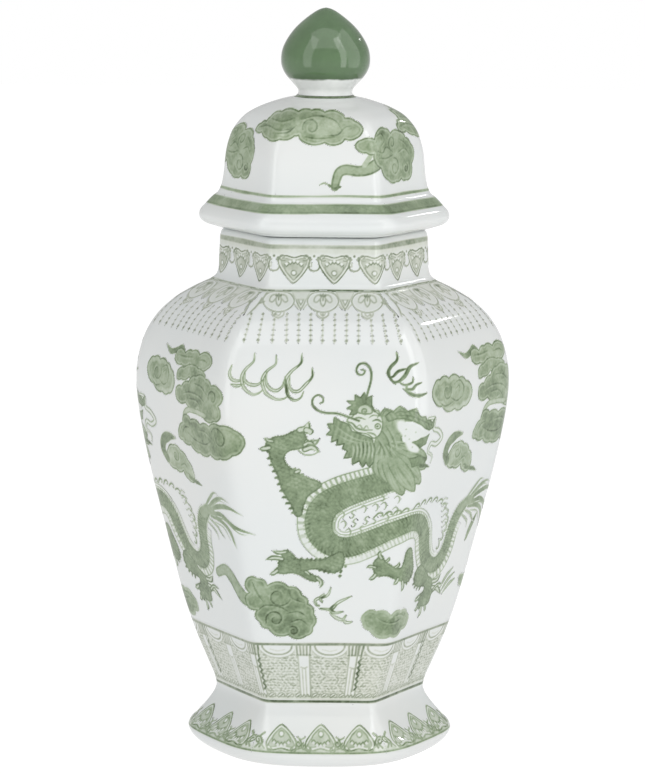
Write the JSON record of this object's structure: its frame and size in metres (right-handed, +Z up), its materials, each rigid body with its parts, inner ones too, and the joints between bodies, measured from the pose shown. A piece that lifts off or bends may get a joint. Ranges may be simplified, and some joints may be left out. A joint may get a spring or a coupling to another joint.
{
  "type": "lidded temple jar",
  "caption": "Six-sided tapering temple jar with flared foot, broad shoulder and short neck, closed by a domed lift-off lid with a rolled rim, a locating collar and a peach-shaped knob.",
  "frame": {"origin": "centre of the foot on its resting plane", "axes": "+Z up along the jar's axis, -Y square to one of the six flat sides, +X through a rounded corner"},
  "size_m": [0.2302, 0.2052, 0.4573],
  "materials": {
    "white_glaze": "clear gloss glaze on white porcelain, with green painting under the glaze",
    "green_glaze": "sage green paint under clear gloss glaze",
    "bare_porcelain": "unglazed, matt and slightly warm"
  },
  "bodies": {
    "jar": {"jar_foot": "white_glaze", "jar_belly": "white_glaze", "jar_neck": "white_glaze"},
    "lid": {"lid_dome": "white_glaze", "lid_collar": "bare_porcelain", "lid_finial": "green_glaze"}
  },
  "joints": [
    {"name": "lid_lift", "type": "slide", "parent": "jar", "child": "lid", "axis": [0, 0, 1], "range_m": [0, 0.12]}
  ]
}
